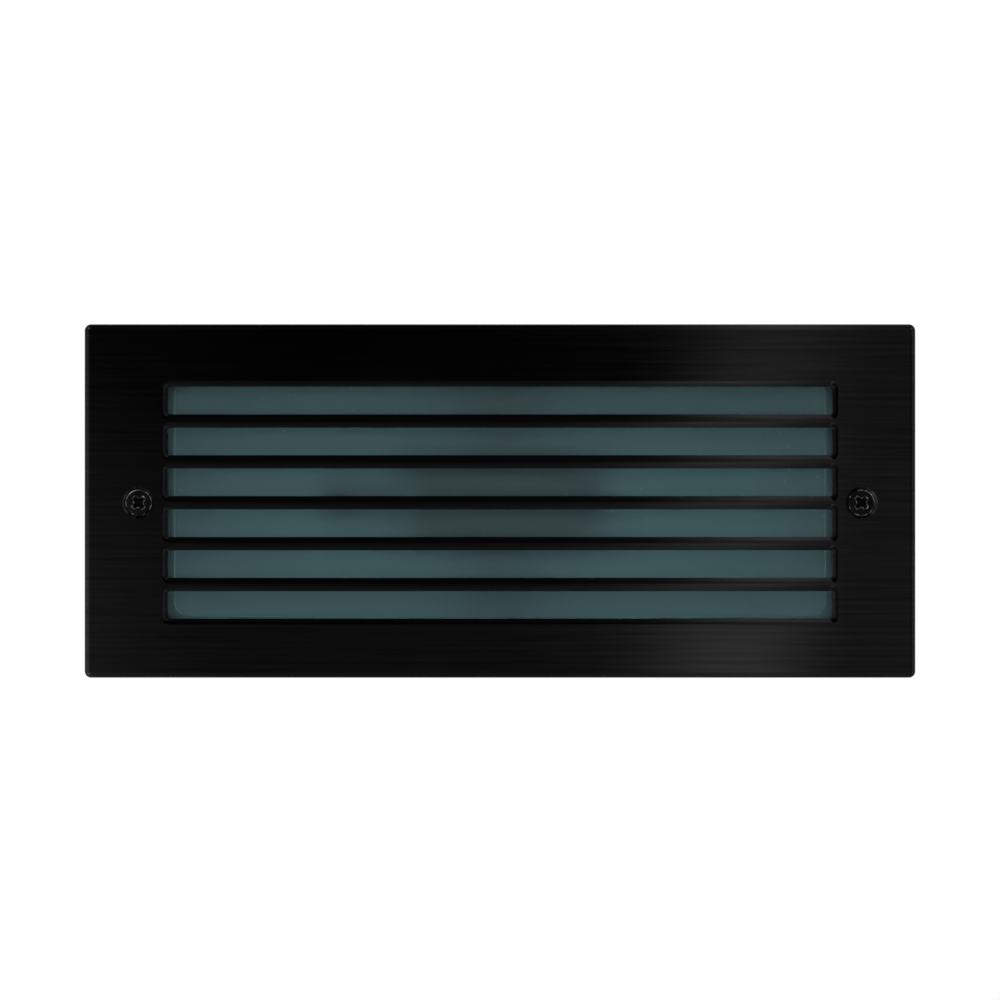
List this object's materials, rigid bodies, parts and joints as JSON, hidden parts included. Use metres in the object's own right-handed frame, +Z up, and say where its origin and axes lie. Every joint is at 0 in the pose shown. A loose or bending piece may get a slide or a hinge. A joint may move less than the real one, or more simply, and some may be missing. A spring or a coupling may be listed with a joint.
{
  "type": "recessed brick light",
  "caption": "Recessed outdoor wall light: a black louvred faceplate on captive screws over a frosted lens, sealed to a cast box that is built into brickwork.",
  "frame": {"origin": "centre of the box flange's back face, on the wall's surface", "axes": "+X to the right of the front, +Y into the wall, +Z up; the faceplate looks along -Y"},
  "size_m": [0.235, 0.092, 0.1],
  "materials": {
    "cover_black": "black, brushed along X",
    "screw_black": "blackened",
    "frosted_glass": "sandblasted",
    "silicone_grey": "matte",
    "rubber_black": "matte",
    "cast_aluminium": "as cast",
    "brass": "satin",
    "tray_white": "white powder coat",
    "zinc_steel": "zinc plated",
    "thermal_grey": "matte",
    "board_black": "black solder mask",
    "phosphor": "satin",
    "white_plastic": "satin",
    "grey_plastic": "satin",
    "black_plastic": "satin",
    "lead_red": "satin",
    "lead_black": "satin",
    "lead_brown": "satin",
    "lead_blue": "satin",
    "lead_green": "satin"
  },
  "bodies": {
    "box": {"housing": "cast_aluminium", "seat_gasket": "silicone_grey", "screw_inserts": "brass", "reflector_tray": "tray_white", "tray_screws": "zinc_steel", "tray_grommet": "rubber_black", "thermal_pad": "thermal_grey", "led_board": "board_black", "led_chips": "phosphor", "led_connector": "white_plastic", "led_board_screws": "zinc_steel", "led_lead_red": "lead_red", "led_lead_black": "lead_black", "driver_case": "black_plastic", "driver_lid": "black_plastic", "driver_screws": "zinc_steel", "terminal_block": "white_plastic", "terminal_clamps": "brass", "terminal_screws": "zinc_steel", "terminal_fixing_screw": "zinc_steel", "live_lead": "lead_brown", "neutral_lead": "lead_blue", "earth_lead": "lead_green", "earth_lug": "zinc_steel", "earth_screw": "zinc_steel", "gland_body": "grey_plastic", "gland_seal": "rubber_black", "gland_cap_nut": "grey_plastic", "entry_locknuts": "grey_plastic", "entry_washers": "rubber_black", "blanking_plug": "grey_plastic"},
    "cover": {"faceplate": "cover_black", "screw_o_rings": "rubber_black"},
    "glass": {"lens": "frosted_glass", "lens_gasket": "silicone_grey"},
    "screw_left": {"cover_screw_left": "screw_black"},
    "screw_right": {"cover_screw_right": "screw_black"}
  },
  "joints": [
    {"name": "cover_lift", "type": "slide", "parent": "box", "child": "cover", "axis": [0, -1, 0], "range_m": [0, 0.12]},
    {"name": "lens_lift", "type": "slide", "parent": "box", "child": "glass", "axis": [0, -1, 0], "range_m": [0, 0.06]},
    {"name": "screw_left_turn", "type": "hinge", "parent": "cover", "child": "screw_left", "pos_m": [-0.1022, 0, -0.0005], "axis": [0, -1, 0], "continuous": true},
    {"name": "screw_right_turn", "type": "hinge", "parent": "cover", "child": "screw_right", "pos_m": [0.1022, 0, -0.0005], "axis": [0, -1, 0], "continuous": true}
  ],
  "couplings": [
    {"joint": "lens_lift", "follows": "cover_lift", "ratio": 0.5}
  ]
}
